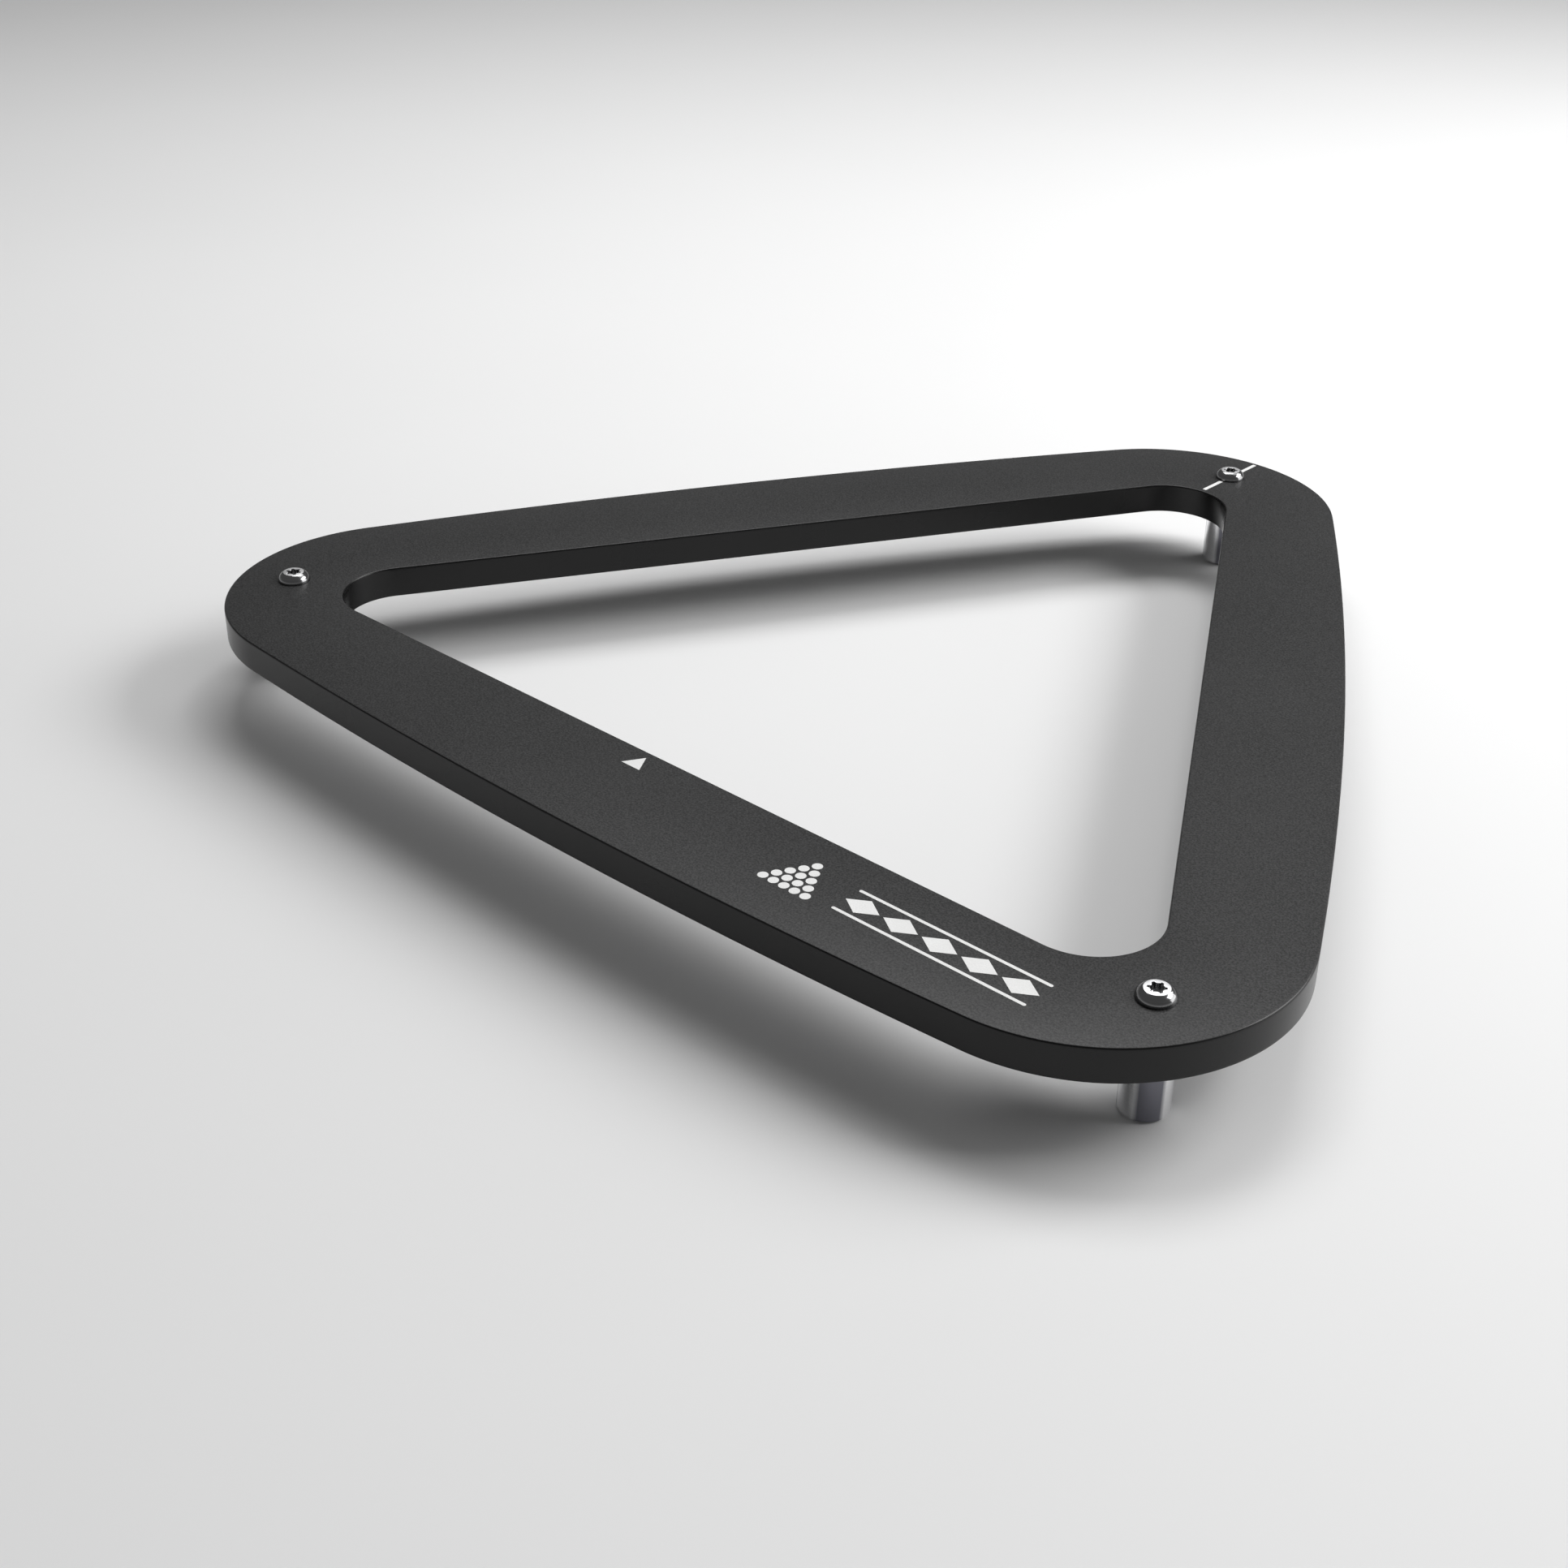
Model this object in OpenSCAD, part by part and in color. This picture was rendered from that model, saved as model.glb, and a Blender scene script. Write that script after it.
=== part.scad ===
// Triangle rack for fifteen pool balls: a flat plate with a three-cornered opening, carried on three
// turned legs that put the plate's rim level with the balls' middles. Units are millimetres, +Z is up,
// the cloth is z = 0 and +Y points to the apex ball. Sizes in the plane start at the triangle's centre.

/* [Balls] */
// Diameter of one ball
ball_d = 57.15; // [46:0.05:70]
// Gap between the outer balls and each inner side when the balls sit centred
ball_play = 1.9; // [0.5:0.1:6]

/* [Plate] */
// Width of the plate at the middle of a side, from inner edge to outer edge
side_w = 41.5; // [34:0.5:55]
// Thickness of the plate
plate_t = 10; // [6:0.5:16]
// Radius of the slow outward bow of each outer side
side_bow_r = 1880; // [900:10:4000]
// Radius of the three outer corners
outer_corner_r = 55.5; // [40:0.5:70]
// Radius of the three inner corners, less than a ball's so that the ball never wedges in it
inner_corner_r = 19; // [10:0.5:26]
// Width of the 45 degree edge break on every long edge of the plate
edge_break = 0.6; // [0.2:0.1:1.5]

/* [Legs] */
// Diameter of a leg
leg_d = 13; // [10:0.5:20]
// Length of a leg, from its foot to the plate's underside
leg_h = 21.5; // [15:0.5:32]
// Edge break at both ends of a leg
leg_break = 0.4; // [0.1:0.1:1]
// Wall left round the pad's recess in a leg's foot
leg_foot_wall = 1.3; // [0.8:0.1:3]

/* [Foot pads] */
// Thickness of a pad
pad_t = 1.5; // [0.8:0.1:3]
// Height that a pad stands out of its leg
pad_proud = 0.5; // [0.2:0.1:1]
// Gap between a pad and its recess, all round
pad_gap = 0.1; // [0.05:0.05:0.4]

/* [Screws] */
// Diameter of a screw's shank
screw_d = 5; // [3:0.5:7]
// Depth that a screw reaches into its leg
screw_reach = 10; // [6:0.5:14]
// Diameter of a screw's button head
head_d = 10.2; // [8:0.1:14]
// Height of the head
head_h = 2.8; // [2:0.1:4]
// Diameter of the flat on top of the head
head_flat_d = 6.6; // [5:0.1:7.6]
// Height of the upright rim round the head
head_rim = 0.6; // [0.2:0.1:1.2]
// Radius of the rounded shoulder between rim and flat
head_shoulder_r = 3.1; // [2:0.1:6]
// Size of the six-lobed socket across its points
socket_d = 4.5; // [3:0.1:4.8]
// Depth of the socket
socket_depth = 1.7; // [1:0.1:2]
// Gap round a shank in the plate's hole
plate_hole_gap = 0.25; // [0.1:0.05:0.5]
// Gap round a shank in its leg's hole, which stands in for the thread
thread_gap = 0.05; // [0.02:0.01:0.1]
// Empty depth left under a screw's end
tap_run_out = 2; // [1:0.5:4]

/* [Filled marks] */
// Depth of the shallow pockets that hold the white filling
mark_depth = 0.3; // [0.2:0.05:0.8]
// Side of the small triangle at the middle of the base
sight_side = 7; // [4:0.5:12]
// Distance of the small triangle's tip from the inner edge
sight_edge = 2.8; // [1:0.1:6]
// Width of the centre line across the apex corner
line_w = 1.4; // [0.8:0.1:3]
// Gap between the centre line and the screw head
line_head_gap = 0.5; // [0.2:0.1:2]
// Distance that the centre line stays back from the plate's inner and outer edge
line_edge = 1.2; // [0.6:0.1:4]
// Distance along the base from the badge's end to the axis of the right screw
badge_screw = 19.7; // [14:0.1:40]
// Distance of the badge's middle line from the inner edge
badge_edge = 18; // [14:0.5:24]
// Diameter of one dot of the badge's triangle of dots
dot_d = 2.9; // [1.5:0.1:4]
// Gap between neighbouring dots
dot_gap = 0.7; // [0.3:0.1:2]
// Gap between the dots and the row of diamonds
row_gap = 6.5; // [3:0.5:12]
// Length of one diamond
diamond_len = 11; // [6:0.5:14]
// Width of one diamond
diamond_w = 7; // [3:0.2:9]
// Gap between the tips of neighbouring diamonds
diamond_gap = 1.2; // [0.4:0.1:3]
// Width of the two fine bars that run along the diamonds
bar_w = 1; // [0.6:0.1:2]
// Gap between a diamond's corner and a bar
bar_gap = 1.2; // [0.6:0.1:3]

/* [Hidden] */

// Round shapes, and the slow bow of the sides, which needs a finer step
$fn = 96;
BOW_FN = 720;
// Small overrun of every cutter past the face that it cuts
OVER = 1;
// Round corners are this much over the size that just touches the sides, so each one crosses them
JOIN = 0.03;
// Degrees that the edge cutter of a side runs on past each of its ends
RUN_ON = 0.03;

BLACK = [0.07, 0.07, 0.075];
STEEL = [0.78, 0.78, 0.8];
FELT = [0.1, 0.1, 0.11];
WHITE = [0.93, 0.93, 0.92];

// Directions of the three corners and of the outward normals of the three sides, counter-clockwise
CORNERS = [-30, 90, 210];
SIDES = [-90, 30, 150];
LEFT = 210;
RIGHT = -30;
APEX = 90;

// Distance of a side's inner edge from the centre: two thirds of the five-row pyramid's height, the
// radius of a ball and the play
BALL_ROWS = 5;
inner_side = (BALL_ROWS - 1) * ball_d * sqrt(3) / 6 + ball_d / 2 + ball_play;
outer_side = inner_side + side_w;

// The side's arc has its centre bow_back behind the middle. An outer corner's arc is tangent to both
// sides' arcs, which puts its centre corner_c from the middle.
bow_back = side_bow_r - outer_side;
bow_core = side_bow_r - outer_corner_r;
corner_c = (-bow_back + sqrt(4 * bow_core * bow_core - 3 * bow_back * bow_back)) / 2;
// Half the angles that a side's bow and an outer corner's arc turn through
side_half = asin(corner_c * sin(60) / bow_core);
corner_half = 60 - side_half;
inner_corner_c = 2 * (inner_side - inner_corner_r);

// The legs and screws stand midway between the inner and the outer corner
inner_tip = inner_corner_c + inner_corner_r;
outer_tip = corner_c + outer_corner_r + JOIN;
leg_c = (inner_tip + outer_tip) / 2;

// Half the height of the outline along Y lies this far above the triangle's centre
centre_y = (outer_tip - outer_side) / 2;

// Heights above the cloth
leg_z = pad_proud;
plate_z = leg_z + leg_h;
top_z = plate_z + plate_t;
mark_z = top_z - mark_depth;

// Pads and their recesses
pad_recess_d = leg_d - 2 * leg_foot_wall;
pad_d = pad_recess_d - 2 * pad_gap;

// Badge: its middle line, where the diamonds start, and the middle and size of its triangle of dots
DIAMONDS = 5;
dot_pitch = dot_d + dot_gap;
dots_w = (BALL_ROWS - 1) * dot_pitch;
dots_h = dots_w * sqrt(3) / 2;
badge_y = -(inner_side + badge_edge);
diamond_pitch = diamond_len + diamond_gap;
row_len = DIAMONDS * diamond_pitch - diamond_gap;
row_x = leg_c * cos(RIGHT) - badge_screw - row_len;
dots_x = row_x - row_gap - (dots_w + dot_d) / 2;

// Moves a shape from the triangle's centre to the model's origin, under the middle of the outline
module in_place() {
    translate([0, -centre_y, 0]) children();
}

// Puts a shape at the screw's axis in one corner
module at_corner(angle) {
    translate([leg_c * cos(angle), leg_c * sin(angle), 0]) children();
}

// Section of a turned rod with both ends broken at 45 degrees
module rod_section(radius, height, cut) {
    polygon([
        [0, 0],
        [radius - cut, 0],
        [radius, cut],
        [radius, height - cut],
        [radius - cut, height],
        [0, height]
    ]);
}

// Section of the cutter that breaks the top and bottom edge of a rim of this radius
module edge_section(radius) {
    inside = radius - edge_break - OVER;
    outside = radius + OVER;
    polygon([
        [inside, plate_t + OVER],
        [outside, plate_t - edge_break - OVER],
        [outside, plate_t + OVER]
    ]);
    polygon([
        [inside, -OVER],
        [outside, -OVER],
        [outside, edge_break + OVER]
    ]);
}

// Section of the opening's cutter, which widens at both faces to break their inner edges
module opening_section(x_in, x_out) {
    wide = x_out + edge_break + OVER;
    polygon([
        [x_in, -OVER],
        [wide, -OVER],
        [x_out, edge_break],
        [x_out, plate_t - edge_break],
        [wide, plate_t + OVER],
        [x_in, plate_t + OVER]
    ]);
}

// Moves the centre of one side's bow, or of one corner's arc, to where it belongs
module on_side(side) {
    rotate([0, 0, side]) translate([-bow_back, 0, 0]) children();
}

module on_corner(corner) {
    rotate([0, 0, corner]) translate([corner_c, 0, 0]) children();
}

// Outline that keeps each side disc between its two corner arcs and ends it at their centres
module side_mask() {
    reach = outer_corner_r + side_w;
    translate([0, 0, -OVER])
        linear_extrude(height = plate_t + 2 * OVER)
            polygon([
                for (c = CORNERS)
                    for (step = [-1, 0, 1])
                        let (r = step == 0 ? 0 : reach, a = c + step * corner_half)
                            [corner_c * cos(c) + r * cos(a), corner_c * sin(c) + r * sin(a)]
            ]);
}

// Solid blank of the plate: the bowed sides between three round corners
module plate_blank() {
    intersection() {
        on_side(SIDES[0]) cylinder(r = side_bow_r, h = plate_t, $fn = BOW_FN);
        on_side(SIDES[1]) cylinder(r = side_bow_r, h = plate_t, $fn = BOW_FN);
        on_side(SIDES[2]) cylinder(r = side_bow_r, h = plate_t, $fn = BOW_FN);
        side_mask();
    }
    for (c = CORNERS)
        on_corner(c) cylinder(r = outer_corner_r + JOIN, h = plate_t);
}

// Cutters that break the outer edges. A side's one runs on a little way past its corners'.
module outer_edge_cutters() {
    side_turn = 2 * (side_half + RUN_ON);
    for (s = SIDES)
        on_side(s)
            rotate([0, 0, -side_turn / 2])
                rotate_extrude(angle = side_turn, $fn = BOW_FN)
                    edge_section(side_bow_r);
    for (c = CORNERS)
        on_corner(c)
            rotate([0, 0, -corner_half])
                rotate_extrude(angle = 2 * corner_half)
                    edge_section(outer_corner_r + JOIN);
}

// Cutter for the opening: a middle triangle, a bar along each side and a round corner between them
module opening_cutter() {
    side_len = inner_corner_c * sqrt(3);
    middle_c = inner_corner_c + OVER;
    translate([0, 0, -OVER])
        linear_extrude(height = plate_t + 2 * OVER)
            polygon([for (c = CORNERS) [middle_c * cos(c), middle_c * sin(c)]]);
    for (s = SIDES)
        rotate([0, 0, s])
            translate([inner_corner_c / 2, side_len / 2, 0])
                rotate([90, 0, 0])
                    linear_extrude(height = side_len)
                        opening_section(-OVER, inner_corner_r);
    for (c = CORNERS)
        rotate([0, 0, c])
            translate([inner_corner_c, 0, 0])
                rotate_extrude()
                    opening_section(0, inner_corner_r + JOIN);
}

// Outline of the small triangle, its tip towards the balls
module sight_outline() {
    tip_y = -(inner_side + sight_edge);
    base_y = tip_y - sight_side * sqrt(3) / 2;
    polygon([
        [-sight_side / 2, base_y],
        [sight_side / 2, base_y],
        [0, tip_y]
    ]);
}

// Outline of the apex line: one stretch on each side of the screw head
module apex_line_outline() {
    inner_start = inner_tip + edge_break + line_edge;
    inner_end = leg_c - head_d / 2 - line_head_gap;
    outer_start = leg_c + head_d / 2 + line_head_gap;
    outer_end = outer_tip - edge_break - line_edge;
    translate([-line_w / 2, inner_start])
        square([line_w, inner_end - inner_start]);
    translate([-line_w / 2, outer_start])
        square([line_w, outer_end - outer_start]);
}

// Bar with round ends, its left end at the origin
module round_bar(length, width) {
    translate([width / 2, -width / 2])
        square([length - width, width]);
    translate([width / 2, 0]) circle(d = width);
    translate([length - width / 2, 0]) circle(d = width);
}

// Diamond, as on a pool table's rails, its left tip at the origin
module diamond() {
    polygon([
        [0, 0],
        [diamond_len / 2, -diamond_w / 2],
        [diamond_len, 0],
        [diamond_len / 2, diamond_w / 2]
    ]);
}

// Outline of the badge: the fifteen balls as dots, and a row of diamonds between two fine bars
module badge_outline() {
    bar_y = (diamond_w + bar_w) / 2 + bar_gap;
    for (row = [0 : BALL_ROWS - 1])
        for (i = [0 : row])
            translate([
                dots_x + (i - row / 2) * dot_pitch,
                badge_y + dots_h / 2 - row * dots_h / (BALL_ROWS - 1)
            ])
                circle(d = dot_d);
    for (i = [0 : DIAMONDS - 1])
        translate([row_x + i * diamond_pitch, badge_y]) diamond();
    for (y = [badge_y - bar_y, badge_y + bar_y])
        translate([row_x, y]) round_bar(row_len, bar_w);
}

// Six-lobed socket outline: a round cut back by six scallops
module socket_outline() {
    scallop_d = socket_d * 0.4;
    difference() {
        circle(d = socket_d);
        for (i = [0 : 5])
            rotate(i * 60)
                translate([socket_d * 0.36 + scallop_d / 2, 0])
                    circle(d = scallop_d);
    }
}

// Half section of the button head. The shoulder's arc passes through the rim's top and the flat's edge.
module head_section() {
    rise = head_h - head_rim;
    run = (head_d - head_flat_d) / 2;
    half_chord = sqrt(rise * rise + run * run) / 2;
    back = sqrt(head_shoulder_r * head_shoulder_r - half_chord * half_chord);
    arc_x = (head_d + head_flat_d) / 4 - back * rise / (2 * half_chord);
    arc_z = (head_h + head_rim) / 2 - back * run / (2 * half_chord);
    intersection() {
        square([head_d / 2, head_h]);
        union() {
            translate([arc_x, arc_z]) circle(r = head_shoulder_r);
            square([arc_x, head_h]);
            square([head_d / 2, head_rim]);
        }
    }
}

// One screw: button head on the plate, plain shank in place of the thread
module screw(corner) {
    color(STEEL) in_place() at_corner(corner) {
        difference() {
            translate([0, 0, top_z]) rotate_extrude() head_section();
            translate([0, 0, top_z + head_h - socket_depth])
                linear_extrude(height = socket_depth + OVER)
                    socket_outline();
        }
        translate([0, 0, plate_z - screw_reach])
            cylinder(d = screw_d, h = plate_t + screw_reach);
    }
}

// One leg: turned rod with a hole for its screw and a recess for its pad
module leg(corner) {
    color(STEEL) in_place() at_corner(corner) difference() {
        translate([0, 0, leg_z])
            rotate_extrude() rod_section(leg_d / 2, leg_h, leg_break);
        translate([0, 0, plate_z - screw_reach - tap_run_out])
            cylinder(d = screw_d + 2 * thread_gap, h = screw_reach + tap_run_out + OVER);
        translate([0, 0, leg_z - OVER])
            cylinder(d = pad_recess_d, h = pad_t - pad_proud + OVER);
    }
}

// One foot pad
module pad(corner) {
    color(FELT) in_place() at_corner(corner) cylinder(d = pad_d, h = pad_t);
}

// The plate, with its screw holes and the pockets for the white marks
module frame_plate() {
    color(BLACK)
        in_place()
            difference() {
                translate([0, 0, plate_z])
                    difference() {
                        plate_blank();
                        opening_cutter();
                        outer_edge_cutters();
                    }
                for (c = CORNERS)
                    at_corner(c)
                        translate([0, 0, plate_z - OVER])
                            cylinder(d = screw_d + 2 * plate_hole_gap, h = plate_t + 2 * OVER);
                translate([0, 0, mark_z])
                    linear_extrude(height = mark_depth + OVER) {
                        sight_outline();
                        apex_line_outline();
                        badge_outline();
                    }
            }
}

// White filling of a pocket, level with the plate's top
module filled() {
    color(WHITE)
        in_place()
            translate([0, 0, mark_z])
                linear_extrude(height = mark_depth) children();
}

module sight_mark() {
    filled() sight_outline();
}

module apex_line() {
    filled() apex_line_outline();
}

module badge() {
    filled() badge_outline();
}

frame_plate();
screw(LEFT);  // screw_left
screw(RIGHT);  // screw_right
screw(APEX);  // screw_apex
leg(LEFT);  // leg_left
leg(RIGHT);  // leg_right
leg(APEX);  // leg_apex
pad(LEFT);  // pad_left
pad(RIGHT);  // pad_right
pad(APEX);  // pad_apex
sight_mark();
apex_line();
badge();
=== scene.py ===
"""Looks of the triangle rack: fine meshes and finishes for its plate, screws, legs, pads and white marks.

Lengths are metres. The rack stands on z = 0, +Y points to its apex corner and +X along its base.
"""

import math

import bmesh
import bpy
from mathutils import Matrix, Vector


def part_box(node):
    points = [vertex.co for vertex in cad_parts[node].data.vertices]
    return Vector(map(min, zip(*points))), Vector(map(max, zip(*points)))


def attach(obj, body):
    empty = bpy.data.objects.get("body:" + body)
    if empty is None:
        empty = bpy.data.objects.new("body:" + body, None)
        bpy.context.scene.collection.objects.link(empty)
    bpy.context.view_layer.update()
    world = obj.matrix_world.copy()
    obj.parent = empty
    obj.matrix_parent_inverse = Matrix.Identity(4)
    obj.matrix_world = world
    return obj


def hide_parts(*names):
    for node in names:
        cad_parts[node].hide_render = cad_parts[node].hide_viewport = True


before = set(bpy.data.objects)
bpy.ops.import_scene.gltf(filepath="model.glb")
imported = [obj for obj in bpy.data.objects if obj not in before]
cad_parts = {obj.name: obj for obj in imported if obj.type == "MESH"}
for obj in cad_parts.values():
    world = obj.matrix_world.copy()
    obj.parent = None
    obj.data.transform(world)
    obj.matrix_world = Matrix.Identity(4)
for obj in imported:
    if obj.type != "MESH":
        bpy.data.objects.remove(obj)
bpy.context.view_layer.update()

MM = 0.001
DEG = math.pi / 180
UP = Vector((0, 0, 1))
# Points nearer to each other than this are one point
MERGE = 0.001 * MM


# ---- Places and sizes ----

CORNER_NAMES = {-30: "right", 90: "apex", 210: "left"}
CORNERS = list(CORNER_NAMES)

# The plate's own curves. Its other sizes follow from where the frame puts its edges.
SIDE_BOW_R = 1880 * MM
OUTER_CORNER_R = 55.5 * MM
INNER_CORNER_R = 19 * MM
SIDE_W = 41.5 * MM
EDGE_ROUND = 0.55 * MM
HOLE_R = 2.75 * MM

plate_low, plate_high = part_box("frame_plate")
corner_c = (plate_high.x - OUTER_CORNER_R) / math.cos(30 * DEG)
centre = Vector((0, plate_high.y - OUTER_CORNER_R - corner_c, 0))
outer_side = centre.y - plate_low.y
inner_side = outer_side - SIDE_W
inner_corner_c = 2 * (inner_side - INNER_CORNER_R)
bow_back = SIDE_BOW_R - outer_side
side_half = math.asin(corner_c * math.sin(60 * DEG) / (SIDE_BOW_R - OUTER_CORNER_R))
corner_half = 60 * DEG - side_half


def middle(node):
    """Middle of a CAD node's box."""
    low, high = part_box(node)
    return (low + high) / 2


def toward(angle_deg, distance):
    """Point at this distance from the triangle's centre."""
    angle = angle_deg * DEG
    return centre + distance * Vector((math.cos(angle), math.sin(angle), 0))


# ---- Mesh helpers ----

ROUND_SEGMENTS = 4
TURNED_STEPS = 96
# One of a leg's three painted dark reflection bands faces this way round its axis, in degrees
PAINTED_REFLECTION_TURN = -46.5


def new_piece(name, bm, material, nodes, crease_deg=35):
    """Finished mesh object that rides on the rack in place of these CAD nodes."""
    bmesh.ops.recalc_face_normals(bm, faces=bm.faces)
    for face in bm.faces:
        face.smooth = True
    for edge in bm.edges:
        edge.smooth = edge.calc_face_angle(0) < crease_deg * DEG
    mesh = bpy.data.meshes.new(name)
    bm.to_mesh(mesh)
    bm.free()
    mesh.materials.append(material)
    piece = bpy.data.objects.new(name, mesh)
    bpy.context.scene.collection.objects.link(piece)
    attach(piece, "root")
    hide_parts(*nodes)
    return piece


def arc(bm, vert, about, angle, steps):
    """Draws an arc of edges from a vertex, and returns the vertex at its end."""
    ring = bmesh.ops.spin(bm, geom=[vert], cent=about, axis=UP, angle=angle, steps=steps)
    return ring["geom_last"][0]


def straight(bm, vert, vector, steps):
    """Draws a straight run of edges from a vertex, and returns the vertex at its end."""
    for _ in range(steps):
        vert = bmesh.ops.extrude_vert_indiv(bm, verts=[vert])["verts"][0]
        vert.co += vector / steps
    return vert


def lift(bm, faces, height, keep_under=False):
    """Extrudes a flat patch upwards, and returns the faces that close it."""
    made = bmesh.ops.extrude_face_region(bm, geom=faces)["geom"]
    verts = [item for item in made if isinstance(item, bmesh.types.BMVert)]
    bmesh.ops.translate(bm, verts=verts, vec=UP * height)
    if not keep_under:
        bmesh.ops.delete(bm, geom=faces, context="FACES")
    return [item for item in made if isinstance(item, bmesh.types.BMFace)]


def round_edges(bm, edges, radius):
    bmesh.ops.bevel(
        bm, geom=edges, offset=radius, offset_type="OFFSET", affect="EDGES",
        segments=ROUND_SEGMENTS, profile=0.5, material=-1, clamp_overlap=True)


def turned(bm, profile):
    """Turns a half section of (radius, height) points about Z."""
    verts = [bm.verts.new((radius, 0, height)) for radius, height in profile]
    edges = [bm.edges.new(pair) for pair in zip(verts, verts[1:])]
    bmesh.ops.spin(
        bm, geom=verts + edges, cent=(0, 0, 0), axis=UP, angle=2 * math.pi, steps=TURNED_STEPS,
        use_merge=True)
    bmesh.ops.remove_doubles(bm, verts=bm.verts, dist=MERGE)


def quarter(about, radius, start_deg, end_deg, steps=6):
    """Points of an arc in a half section."""
    points = []
    for i in range(steps + 1):
        angle = (start_deg + (end_deg - start_deg) * i / steps) * DEG
        points.append((about[0] + radius * math.cos(angle), about[1] + radius * math.sin(angle)))
    return points


def lathe_attribute(piece, axis):
    """Keeps each point's distance from the axis, its height, and a cosine of three crests round the axis
    that places a leg's painted reflection bands.
    """
    values = piece.data.attributes.new("lathe", "FLOAT_VECTOR", "POINT")
    for vert in piece.data.vertices:
        away = vert.co - axis
        reflection_band_wave = math.cos(3 * (math.atan2(away.y, away.x) - PAINTED_REFLECTION_TURN * DEG))
        values.data[vert.index].vector = (math.hypot(away.x, away.y), vert.co.z, reflection_band_wave)


# ---- Node groups ----

def node_group(name, inputs, outputs):
    """Empty shader group. Inputs are {name: default}, outputs {name: socket type}."""
    tree = bpy.data.node_groups.new(name, "ShaderNodeTree")
    for label, default in inputs.items():
        kind = "NodeSocketVector" if default is None else "NodeSocketFloat"
        socket = tree.interface.new_socket(label, in_out="INPUT", socket_type=kind)
        if default is not None:
            socket.default_value = default
    for label, kind in outputs.items():
        tree.interface.new_socket(label, in_out="OUTPUT", socket_type=kind)
    return tree, tree.nodes.new("NodeGroupInput").outputs, tree.nodes.new("NodeGroupOutput").inputs


def add(tree, kind, settings=None, **sockets):
    """Adds a node. A socket, by name or as _number, gets a value, or another node's output to link to."""
    node = tree.nodes.new(kind)
    for key, value in (settings or {}).items():
        setattr(node, key, value)
    for label, value in sockets.items():
        number = label[1:]
        socket = node.inputs[int(number) if number.isdigit() else label.replace("_", " ")]
        if isinstance(value, bpy.types.NodeSocket):
            tree.links.new(value, socket)
        else:
            socket.default_value = value
    return node


def calc(tree, operation, a, b=0.0):
    return add(tree, "ShaderNodeMath", {"operation": operation}, _0=a, _1=b).outputs[0]


def spread(tree, value, low, high, to_low=0.0, to_high=1.0):
    """Maps a value from one range to another, and holds it there."""
    return add(
        tree, "ShaderNodeMapRange", {"clamp": True},
        Value=value, From_Min=low, From_Max=high, To_Min=to_low, To_Max=to_high).outputs["Result"]


def noise(tree, vector, scale, detail, roughness=0.5):
    return add(
        tree, "ShaderNodeTexNoise", {"noise_dimensions": "3D"},
        Vector=vector, Scale=scale, Detail=detail, Roughness=roughness).outputs["Fac"]


def make_blasted():
    """Even pits of a bead-blasted surface: a height, and a speckle of the facets that catch light."""
    pit_share, fine_share, finer = 0.7, 0.3, 2.3
    speckle_low, speckle_high = 0.36, 0.66
    tree, given, out = node_group(
        "blasted", {"Vector": None, "Pit Size": 0.0004},
        {"Height": "NodeSocketFloat", "Speckle": "NodeSocketFloat"})
    per_metre = calc(tree, "DIVIDE", 1.0, given["Pit Size"])
    pits = noise(tree, given["Vector"], per_metre, 1.0, 0.6)
    fine = noise(tree, given["Vector"], calc(tree, "MULTIPLY", per_metre, finer), 0.0)
    height = calc(
        tree, "ADD", calc(tree, "MULTIPLY", pits, pit_share), calc(tree, "MULTIPLY", fine, fine_share))
    tree.links.new(height, out["Height"])
    tree.links.new(spread(tree, height, speckle_low, speckle_high), out["Speckle"])
    return tree


def make_clouding():
    """Broad, faint unevenness of a finish, from 0 to 1."""
    thin, thick = 0.32, 0.68
    tree, given, out = node_group(
        "clouding", {"Vector": None, "Patch Size": 0.03}, {"Mask": "NodeSocketFloat"})
    per_metre = calc(tree, "DIVIDE", 1.0, given["Patch Size"])
    patches = noise(tree, given["Vector"], per_metre, 3.0, 0.55)
    tree.links.new(spread(tree, patches, thin, thick), out["Mask"])
    return tree


def make_turning():
    """Fine lines left by a lathe tool, along the height of a wall and out along a face."""
    groove, ridge = 0.35, 0.65
    tree, given, out = node_group(
        "turning", {"Lathe": None, "Pitch": 0.00025},
        {"Height": "NodeSocketFloat", "Streak": "NodeSocketFloat"})
    parts = add(tree, "ShaderNodeSeparateXYZ", Vector=given["Lathe"]).outputs
    along = calc(tree, "ADD", parts["X"], parts["Y"])
    per_pitch = calc(tree, "DIVIDE", along, given["Pitch"])
    line = add(
        tree, "ShaderNodeTexNoise", {"noise_dimensions": "1D"},
        W=per_pitch, Scale=1.0, Detail=2.0, Roughness=0.6).outputs["Fac"]
    tree.links.new(line, out["Height"])
    tree.links.new(spread(tree, line, groove, ridge), out["Streak"])
    return tree


BLASTED = make_blasted()
CLOUDING = make_clouding()
TURNING = make_turning()


# ---- Materials ----

def new_material(name):
    """Empty material: its tree, its Principled BSDF and its object coordinates."""
    material = bpy.data.materials.new(name)
    material.use_nodes = True
    tree = material.node_tree
    shader = tree.nodes["Principled BSDF"]
    place = add(tree, "ShaderNodeTexCoord").outputs["Object"]
    return material, tree, shader, place


def group(tree, kind, **sockets):
    return add(tree, "ShaderNodeGroup", {"node_tree": kind}, **sockets).outputs


def blend_colours(tree, mask, first, second):
    return add(tree, "ShaderNodeMix", {"data_type": "RGBA"}, _0=mask, _6=first, _7=second).outputs[2]


def mix_values(tree, mask, first, second):
    return add(tree, "ShaderNodeMix", {"data_type": "FLOAT"}, _0=mask, _2=first, _3=second).outputs[0]


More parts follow.
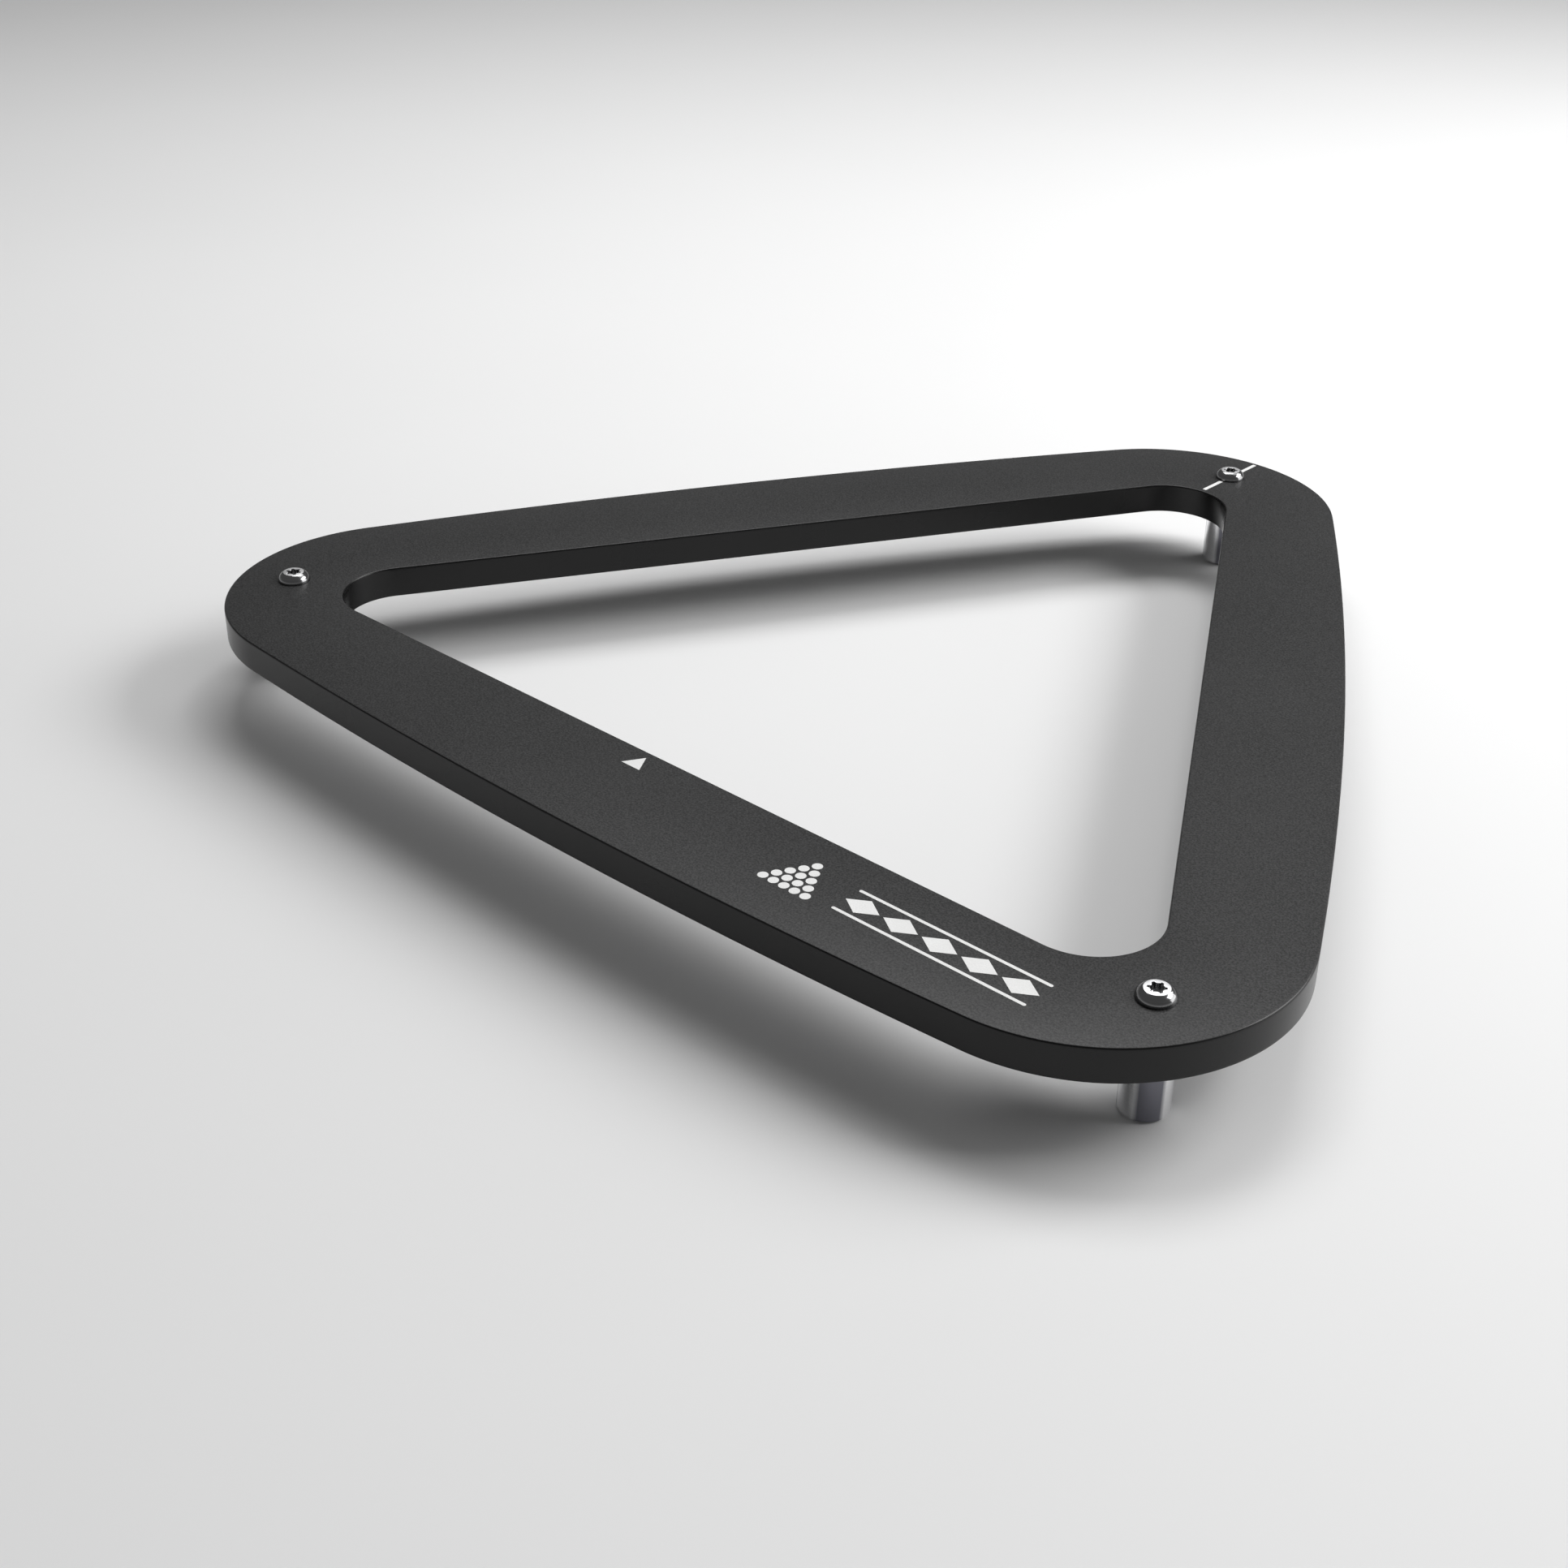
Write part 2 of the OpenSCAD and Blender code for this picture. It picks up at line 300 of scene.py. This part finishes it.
def bump(tree, height, distance):
    return add(tree, "ShaderNodeBump", Height=height, Distance=distance, Strength=1.0).outputs["Normal"]


def facing_up(tree):
    """How far the surface faces up, from -1 to 1."""
    normal = add(tree, "ShaderNodeNewGeometry").outputs["Normal"]
    return add(tree, "ShaderNodeSeparateXYZ", Vector=normal).outputs["Z"]


def black_anodised():
    """Bead-blasted flat faces, and smoother milled walls, under one black anodised skin; the walls' darker
    colour is painted shade, and the flats' bright speckle is painted glints.
    """
    dye, faded_dye = (0.006, 0.006, 0.0061, 1), (0.008, 0.008, 0.0081, 1)
    shaded_wall_colour, painted_glint = (0.003, 0.003, 0.0031, 1), (0.046, 0.046, 0.0465, 1)
    wall_roughness, flat_roughness = 0.27, 0.43
    wall_pits, pit_depth = 0.12, 0.00002
    material, tree, shader, place = new_material("black_anodised")
    blasted = group(tree, BLASTED, Vector=place, Pit_Size=0.00055)
    clouding = group(tree, CLOUDING, Vector=place, Patch_Size=0.045)
    flat = spread(tree, calc(tree, "ABSOLUTE", facing_up(tree)), 0.8, 0.97)
    # Painted glint: bright speckle on the blasted flats stands in for pit facets catching the light.
    speckle = calc(tree, "MULTIPLY", blasted["Speckle"], flat)
    # Painted shade: the walls take a darker colour than the flats.
    skin = blend_colours(tree, flat, shaded_wall_colour, blend_colours(tree, clouding["Mask"], dye, faded_dye))
    tree.links.new(blend_colours(tree, speckle, skin, painted_glint), shader.inputs["Base Color"])
    roughness = mix_values(tree, flat, wall_roughness, flat_roughness)
    uneven = spread(tree, clouding["Mask"], 0, 1, -0.02, 0.03)
    tree.links.new(calc(tree, "ADD", roughness, uneven), shader.inputs["Roughness"])
    pits = calc(tree, "MULTIPLY", blasted["Height"], mix_values(tree, flat, wall_pits, 1.0))
    tree.links.new(bump(tree, pits, pit_depth), shader.inputs["Normal"])
    shader.inputs["IOR"].default_value = 1.36
    return material


def polished_steel(name, colour, roughness, pitch, line_depth, shaded_side_tone, painted_reflection_tone=1.0):
    """Turned metal: lathe lines, patchy haze, satin flats, painted shade on every face but the up-facing
    flats, and painted dark reflection bands if the band tone is below 1.
    """
    glint, painted_reflection_blue = 1.15, 1.12
    least_haze, most_haze, flat_haze = 0.85, 1.25, 0.26
    material, tree, shader, place = new_material(name)
    lathe = add(tree, "ShaderNodeAttribute", {"attribute_name": "lathe"}).outputs["Vector"]
    turning = group(tree, TURNING, Lathe=lathe, Pitch=pitch)
    clouding = group(tree, CLOUDING, Vector=place, Patch_Size=0.004)
    flat = spread(tree, facing_up(tree), 0.93, 0.99)
    # Painted shade: every face but the up-facing flat takes this share of the colour, so a screw's shoulder,
    # rim and socket walls read darker than its bright top.
    shaded_side = tuple(shaded_side_tone * c for c in colour)
    bright_line = tuple(min(1.0, glint * c) for c in shaded_side)
    lined = blend_colours(tree, turning["Streak"], (*shaded_side, 1), (*bright_line, 1))
    # Painted reflection: three dark, faintly blue bands down the length stand in for a dark studio mirrored
    # in the metal.
    if painted_reflection_tone < 1:
        reflection_band_wave = add(tree, "ShaderNodeSeparateXYZ", Vector=lathe).outputs["Z"]
        red, green, blue = (painted_reflection_tone * c for c in shaded_side)
        lined = blend_colours(tree, spread(tree, reflection_band_wave, -0.25, 0.3), lined, (red, green, painted_reflection_blue * blue, 1))
    tree.links.new(blend_colours(tree, flat, lined, (*colour, 1)), shader.inputs["Base Color"])
    haze = spread(tree, clouding["Mask"], 0, 1, roughness * least_haze, roughness * most_haze)
    satin = calc(tree, "ADD", haze, calc(tree, "MULTIPLY", flat, flat_haze))
    tree.links.new(satin, shader.inputs["Roughness"])
    tree.links.new(bump(tree, turning["Height"], line_depth), shader.inputs["Normal"])
    shader.inputs["Metallic"].default_value = 1.0
    return material


def foot_felt():
    """Dense felt: short matted fibres."""
    shaded, lit = (0.012, 0.012, 0.013, 1), (0.022, 0.022, 0.024, 1)
    fibre, fibre_depth = (0.05, 0.05, 0.053, 1), 0.0001
    material, tree, shader, place = new_material("foot_felt")
    blasted = group(tree, BLASTED, Vector=place, Pit_Size=0.00025)
    clouding = group(tree, CLOUDING, Vector=place, Patch_Size=0.002)
    mat = blend_colours(tree, clouding["Mask"], shaded, lit)
    tree.links.new(blend_colours(tree, blasted["Speckle"], mat, fibre), shader.inputs["Base Color"])
    tree.links.new(bump(tree, blasted["Height"], fibre_depth), shader.inputs["Normal"])
    shader.inputs["Roughness"].default_value = 0.95
    shader.inputs["Sheen Weight"].default_value = 0.3
    return material


def white_filling():
    """Matt white enamel, a little thinner where the blasted face shows through."""
    dull, clean = (0.80, 0.80, 0.79, 1), (0.86, 0.86, 0.855, 1)
    thin, pit_depth = (0.76, 0.76, 0.755, 1), 0.00001
    material, tree, shader, place = new_material("white_filling")
    blasted = group(tree, BLASTED, Vector=place, Pit_Size=0.0004)
    clouding = group(tree, CLOUDING, Vector=place, Patch_Size=0.006)
    body = blend_colours(tree, clouding["Mask"], dull, clean)
    tree.links.new(blend_colours(tree, blasted["Speckle"], thin, body), shader.inputs["Base Color"])
    tree.links.new(spread(tree, clouding["Mask"], 0, 1, 0.4, 0.5), shader.inputs["Roughness"])
    tree.links.new(bump(tree, blasted["Height"], pit_depth), shader.inputs["Normal"])
    return material


BLACK = black_anodised()
# A screw's shoulder and rim are painted in shade at 0.3 of its bright flat's colour.
SCREW_STEEL = polished_steel(
    "polished_screw", (0.86, 0.86, 0.87), roughness=0.15, pitch=0.00012, line_depth=0.000004, shaded_side_tone=0.3)
# The leg's dark bands are painted reflection, laid into the metal's colour.
LEG_METAL = polished_steel(
    "polished_leg", (0.92, 0.92, 0.94), roughness=0.16, pitch=0.00030, line_depth=0.000006, shaded_side_tone=0.98,
    painted_reflection_tone=0.22)
FELT = foot_felt()
WHITE = white_filling()


# ---- Plate ----

CORNER_STEPS = 56
SIDE_STEPS = 48
HOLE_STEPS = 32
# The end of an outline meets its start within this
SEAM_GAP = 0.05 * MM
LEVEL_GAP = 0.01 * MM
RIM_ANGLE = 80 * DEG


def outer_loop(bm):
    """Outline of three round corners between three slowly bowed sides."""
    start = toward(CORNERS[0], corner_c)
    angle = CORNERS[0] * DEG - corner_half
    vert = bm.verts.new(start + OUTER_CORNER_R * Vector((math.cos(angle), math.sin(angle), 0)))
    for corner in CORNERS:
        vert = arc(bm, vert, toward(corner, corner_c), 2 * corner_half, CORNER_STEPS)
        vert = arc(bm, vert, toward(corner + 60, -bow_back), 2 * side_half, SIDE_STEPS)


def inner_loop(bm):
    """Outline of the opening: three round corners between straight sides."""
    start = toward(CORNERS[0], inner_corner_c)
    vert = bm.verts.new(start + Vector((0, -INNER_CORNER_R, 0)))
    for corner in CORNERS:
        about = toward(corner, inner_corner_c)
        following = toward(corner + 120, inner_corner_c)
        vert = arc(bm, vert, about, 120 * DEG, CORNER_STEPS)
        vert = straight(bm, vert, following - about, SIDE_STEPS)


def on_a_face(vert):
    """Whether a point of the plate is in its top or its underside."""
    return min(abs(vert.co.z - plate_low.z), abs(vert.co.z - plate_high.z)) < LEVEL_GAP


def frame_plate():
    screw_places = [middle("screw_" + name) * Vector((1, 1, 0)) for name in CORNER_NAMES.values()]
    bm = bmesh.new()
    outer_loop(bm)
    inner_loop(bm)
    bmesh.ops.remove_doubles(bm, verts=bm.verts, dist=SEAM_GAP)
    for place in screw_places:
        bmesh.ops.create_circle(bm, segments=HOLE_STEPS, radius=HOLE_R, matrix=Matrix.Translation(place))
    bmesh.ops.triangle_fill(bm, edges=bm.edges, use_beauty=True, normal=UP)
    bmesh.ops.translate(bm, verts=bm.verts, vec=UP * plate_low.z)
    band = 2 * EDGE_ROUND
    thickness = plate_high.z - plate_low.z
    faces = lift(bm, list(bm.faces), band, keep_under=True)
    faces = lift(bm, faces, thickness - 2 * band)
    lift(bm, faces, band)
    rims = [
        edge for edge in bm.edges
        if edge.calc_face_angle(0) > RIM_ANGLE and all(on_a_face(vert) for vert in edge.verts)
        and min((vert.co - place).xy.length for vert in edge.verts for place in screw_places) > 2 * HOLE_R]
    round_edges(bm, rims, EDGE_ROUND)
    new_piece("plate", bm, BLACK, ["frame_plate"])


frame_plate()


# ---- Screws ----

HEAD_STEPS = 120
HEAD_FLAT_R = 3.3 * MM
HEAD_RIM = 0.6 * MM
RIM_ROUND = 0.12 * MM
SHOULDER_R = 3.1 * MM
SHOULDER_STEPS = 9
SHANK_R = 2.5 * MM
SHANK_POINT = 0.5 * MM
SOCKET_R = 2.25 * MM
SOCKET_DEPTH = 1.7 * MM
SOCKET_ENTRY = 0.14 * MM
DRILL_R = 0.6 * MM
DRILL_CONE_R = 1.45 * MM
DRILL_POINT = 0.6 * MM
SCALLOP_R = 0.9 * MM
SCALLOP_C = 2.52 * MM


def socket_radius(angle):
    """Distance from the axis to the wall of the six-lobed socket."""
    off = (angle + 30 * DEG) % (60 * DEG) - 30 * DEG
    across = SCALLOP_C * math.sin(off)
    if abs(across) >= SCALLOP_R:
        return SOCKET_R
    return min(SOCKET_R, SCALLOP_C * math.cos(off) - math.sqrt(SCALLOP_R ** 2 - across ** 2))


def next_ring(bm, edges, radius, height):
    """Extrudes a ring of edges, and draws it to a radius, or to one that depends on the angle."""
    made = bmesh.ops.extrude_edge_only(bm, edges=edges)["geom"]
    for vert in made:
        if isinstance(vert, bmesh.types.BMVert):
            angle = math.atan2(vert.co.y, vert.co.x)
            reach = radius(angle) if callable(radius) else radius
            vert.co = (reach * math.cos(angle), reach * math.sin(angle), height)
    return [item for item in made if isinstance(item, bmesh.types.BMEdge)]


def shoulder_arc(rim, flat):
    """Points of the head's round shoulder, from the flat's edge down to the rim."""
    halfway = ((rim[0] + flat[0]) / 2, (rim[1] + flat[1]) / 2)
    half_chord = math.dist(rim, flat) / 2
    back = math.sqrt(SHOULDER_R ** 2 - half_chord ** 2)
    about = (halfway[0] - back * (flat[1] - rim[1]) / (2 * half_chord),
             halfway[1] - back * (rim[0] - flat[0]) / (2 * half_chord))
    start = math.degrees(math.atan2(flat[1] - about[1], flat[0] - about[0]))
    end = math.degrees(math.atan2(rim[1] - about[1], rim[0] - about[0]))
    return quarter(about, SHOULDER_R, start, end, SHOULDER_STEPS)


def screw(name):
    """Button head with a six-lobed socket, and its shank, drawn ring by ring from inside the socket."""
    node = "screw_" + name
    low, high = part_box(node)
    at = middle(node)
    head_r = (high.x - low.x) / 2
    seat = plate_high.z
    floor_z = high.z - SOCKET_DEPTH
    bm = bmesh.new()
    bmesh.ops.create_circle(
        bm, segments=HEAD_STEPS, radius=DRILL_R, matrix=Matrix.Translation((0, 0, floor_z - DRILL_POINT)))
    bmesh.ops.contextual_create(bm, geom=bm.edges)
    edges = list(bm.edges)
    for radius, height in (
            (DRILL_CONE_R, floor_z),
            (lambda angle: 0.97 * socket_radius(angle), floor_z),
            (socket_radius, floor_z + 0.1 * MM),
            (socket_radius, high.z - SOCKET_ENTRY),
            (lambda angle: socket_radius(angle) + 0.6 * SOCKET_ENTRY, high.z - 0.3 * SOCKET_ENTRY),
            (lambda angle: socket_radius(angle) + 1.2 * SOCKET_ENTRY, high.z),
            (HEAD_FLAT_R - 0.12 * MM, high.z),
            *shoulder_arc((head_r, seat + HEAD_RIM), (HEAD_FLAT_R, high.z - 0.03 * MM)),
            *quarter((head_r - RIM_ROUND, seat + RIM_ROUND), RIM_ROUND, 0, -90, 3),
            (SHANK_R, seat),
            (SHANK_R, low.z + SHANK_POINT),
            (SHANK_R - SHANK_POINT, low.z)):
        edges = next_ring(bm, edges, radius, height)
    bmesh.ops.contextual_create(bm, geom=edges)
    bmesh.ops.translate(bm, verts=bm.verts, vec=Vector((at.x, at.y, 0)))
    piece = new_piece("button_" + node, bm, SCREW_STEEL, [node], crease_deg=26)
    lathe_attribute(piece, at)


for corner_name in CORNER_NAMES.values():
    screw(corner_name)


# ---- Legs and pads ----

FOOT_WALL = 1.3 * MM
LEG_EDGE = 0.4 * MM
LEG_BORE_DEPTH = 12 * MM
PAD_EDGE = 0.2 * MM


def leg(name):
    node = "leg_" + name
    low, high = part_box(node)
    at = middle(node)
    radius = (high.x - low.x) / 2
    recess_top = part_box("pad_" + name)[1].z
    bore_end = high.z - LEG_BORE_DEPTH
    bm = bmesh.new()
    turned(bm, [
        (0, recess_top), (radius - FOOT_WALL, recess_top), (radius - FOOT_WALL, low.z),
        *quarter((radius - LEG_EDGE, low.z + LEG_EDGE), LEG_EDGE, -90, 0),
        *quarter((radius - LEG_EDGE, high.z - LEG_EDGE), LEG_EDGE, 0, 90),
        (SHANK_R, high.z), (SHANK_R, bore_end), (0, bore_end)])
    bmesh.ops.translate(bm, verts=bm.verts, vec=Vector((at.x, at.y, 0)))
    piece = new_piece("turned_" + node, bm, LEG_METAL, [node])
    lathe_attribute(piece, at)


def pad(name):
    node = "pad_" + name
    low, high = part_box(node)
    at = middle(node)
    radius = (high.x - low.x) / 2
    bm = bmesh.new()
    turned(bm, [
        (0, low.z), *quarter((radius - PAD_EDGE, low.z + PAD_EDGE), PAD_EDGE, -90, 0),
        (radius, high.z), (0, high.z)])
    bmesh.ops.translate(bm, verts=bm.verts, vec=Vector((at.x, at.y, 0)))
    new_piece("felt_" + node, bm, FELT, [node])


for corner_name in CORNER_NAMES.values():
    leg(corner_name)
    pad(corner_name)


# ---- White marks ----

FILM = 0.04 * MM


def film_copy(name, node):
    """Thin film in the outline of a CAD mark, a hair above the plate."""
    bm = bmesh.new()
    bm.from_mesh(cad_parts[node].data)
    bmesh.ops.remove_doubles(bm, verts=bm.verts, dist=MERGE)
    low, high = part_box(node)
    for vert in bm.verts:
        if vert.co.z > (low.z + high.z) / 2:
            vert.co.z = high.z + FILM
    bmesh.ops.dissolve_limit(bm, angle_limit=1 * DEG, verts=bm.verts, edges=bm.edges)
    new_piece(name, bm, WHITE, [node])


film_copy("white_sight", "sight_mark")
film_copy("white_line", "apex_line")
film_copy("white_badge", "badge")


# ---- Floor, light and camera ----

# Half the floor's width. Its edge is out of the main view, and shows behind the rack in lower ones.
FLOOR_HALF = 2.2
FLOOR_DROP = 0.05 * MM
RACK_MIDDLE = Vector((0, 0, 0.02))
DOME_R = 1.5
HORIZON_GLOW = 0.5
ROOM_GLOW = 0.15
# Height in the sky, as the sine of its angle, where the horizon's glow has faded
GLOW_TOP = 0.24

VIEW_AZIMUTH, VIEW_ELEVATION, VIEW_ROLL = 42.6955, 29.7075, 0.7186
VIEW_TARGET = Vector((21.43, -102.76, 18.87)) * MM
VIEW_DISTANCE = 610.1 * MM
LENS_LENGTH = 49.65


def floor():
    bm = bmesh.new()
    bmesh.ops.create_grid(bm, x_segments=1, y_segments=1, size=FLOOR_HALF)
    bmesh.ops.translate(bm, verts=bm.verts, vec=UP * -FLOOR_DROP)
    mesh = bpy.data.meshes.new("floor")
    bm.to_mesh(mesh)
    bm.free()
    worn, clean = (0.80, 0.80, 0.80, 1), (0.82, 0.82, 0.82, 1)
    material, tree, shader, place = new_material("pale_floor")
    clouding = group(tree, CLOUDING, Vector=place, Patch_Size=0.5)
    tree.links.new(blend_colours(tree, clouding["Mask"], worn, clean), shader.inputs["Base Color"])
    shader.inputs["Roughness"].default_value = 0.9
    shader.inputs["Specular IOR Level"].default_value = 0.1
    mesh.materials.append(material)
    piece = bpy.data.objects.new("floor", mesh)
    bpy.context.scene.collection.objects.link(piece)


def heading(azimuth_deg, elevation_deg):
    """Direction from the rack to a place round it. Azimuth 0 is in front of the base."""
    az, el = azimuth_deg * DEG, elevation_deg * DEG
    return Vector((math.sin(az) * math.cos(el), -math.cos(az) * math.cos(el), math.sin(el)))


def softbox(name, azimuth_deg, elevation_deg, size, radiance):
    """Soft light on a dome round the rack. Radiance 1 is as bright as a white wall in full light."""
    light = bpy.data.lights.new(name, "AREA")
    light.shape = "RECTANGLE"
    light.size, light.size_y = size
    light.energy = math.pi * size[0] * size[1] * radiance
    lamp = bpy.data.objects.new(name, light)
    bpy.context.scene.collection.objects.link(lamp)
    lamp.location = RACK_MIDDLE + DOME_R * heading(azimuth_deg, elevation_deg)
    lamp.rotation_euler = (RACK_MIDDLE - lamp.location).to_track_quat("-Z", "Y").to_euler()


def room():
    """Dim room, with a pale glow low down all round."""
    world = bpy.data.worlds.new("studio")
    bpy.context.scene.world = world
    world.use_nodes = True
    tree = world.node_tree
    background = tree.nodes["Background"]
    direction = add(tree, "ShaderNodeTexCoord").outputs["Generated"]
    height = add(tree, "ShaderNodeSeparateXYZ", Vector=direction).outputs["Z"]
    tree.links.new(
        spread(tree, height, 0.0, GLOW_TOP, HORIZON_GLOW, ROOM_GLOW), background.inputs["Strength"])
    background.inputs["Color"].default_value = (1, 1, 1, 1)


def main_camera():
    lens = bpy.data.cameras.new("camera")
    lens.sensor_width = 36
    lens.lens = LENS_LENGTH
    camera = bpy.data.objects.new("camera", lens)
    bpy.context.scene.collection.objects.link(camera)
    back = heading(VIEW_AZIMUTH, VIEW_ELEVATION)
    right = Vector((math.cos(VIEW_AZIMUTH * DEG), math.sin(VIEW_AZIMUTH * DEG), 0))
    turn = Matrix((right, back.cross(right), back)).transposed().to_4x4()
    camera.matrix_world = (
        Matrix.Translation(VIEW_TARGET + VIEW_DISTANCE * back) @ turn
        @ Matrix.Rotation(VIEW_ROLL * DEG, 4, "Z"))
    bpy.context.scene.camera = camera
    bpy.context.scene.view_settings.view_transform = "Standard"


floor()
softbox("back_key", 222.7, 64, (0.9, 0.65), 5.8)
softbox("far_key", 177.7, 60, (0.9, 0.65), 1.3)
softbox("right_key", 141, 39, (1.1, 0.6), 8.3)
softbox("right_low", 132.7, 14, (1.1, 0.6), 2.6)
room()
main_camera()
